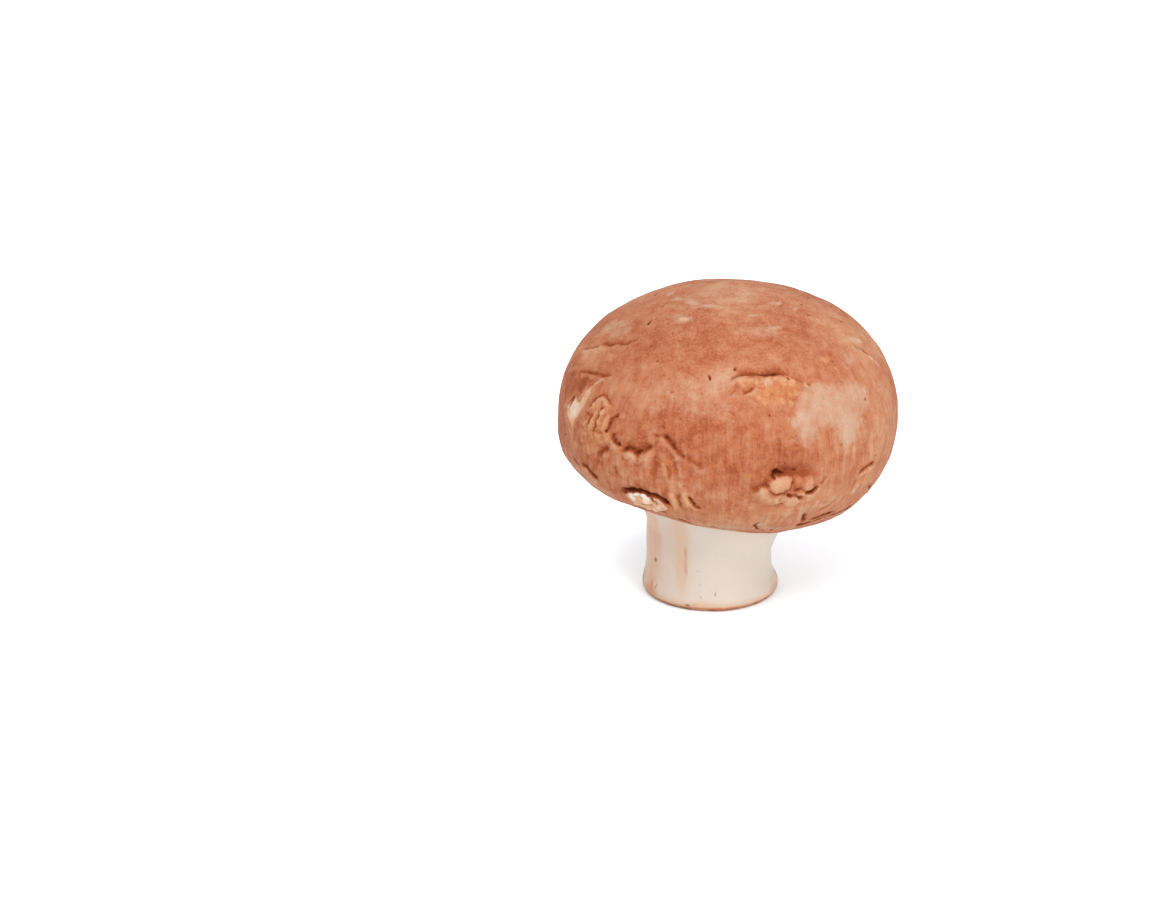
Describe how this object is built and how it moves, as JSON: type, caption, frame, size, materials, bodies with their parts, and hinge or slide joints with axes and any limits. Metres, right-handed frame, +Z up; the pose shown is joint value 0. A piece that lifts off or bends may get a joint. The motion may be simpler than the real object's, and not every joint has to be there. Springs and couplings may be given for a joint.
{
  "type": "button mushroom",
  "caption": "Closed-cap brown button mushroom standing on its short cut stem, with crumpled, scuffed skin and a cream collar under the cap.",
  "frame": {"origin": "on the surface that the mushroom stands on, under the middle of the box that holds it", "axes": "+Z up from the cut end of the stem to the crown; -Y is the side that the picture shows, +X its right"},
  "size_m": [0.0494, 0.047, 0.046],
  "materials": {
    "cap_skin": "matte",
    "stem_flesh": "matte"
  },
  "bodies": {
    "root": {"cap": "cap_skin", "stem": "stem_flesh"}
  },
  "joints": []
}
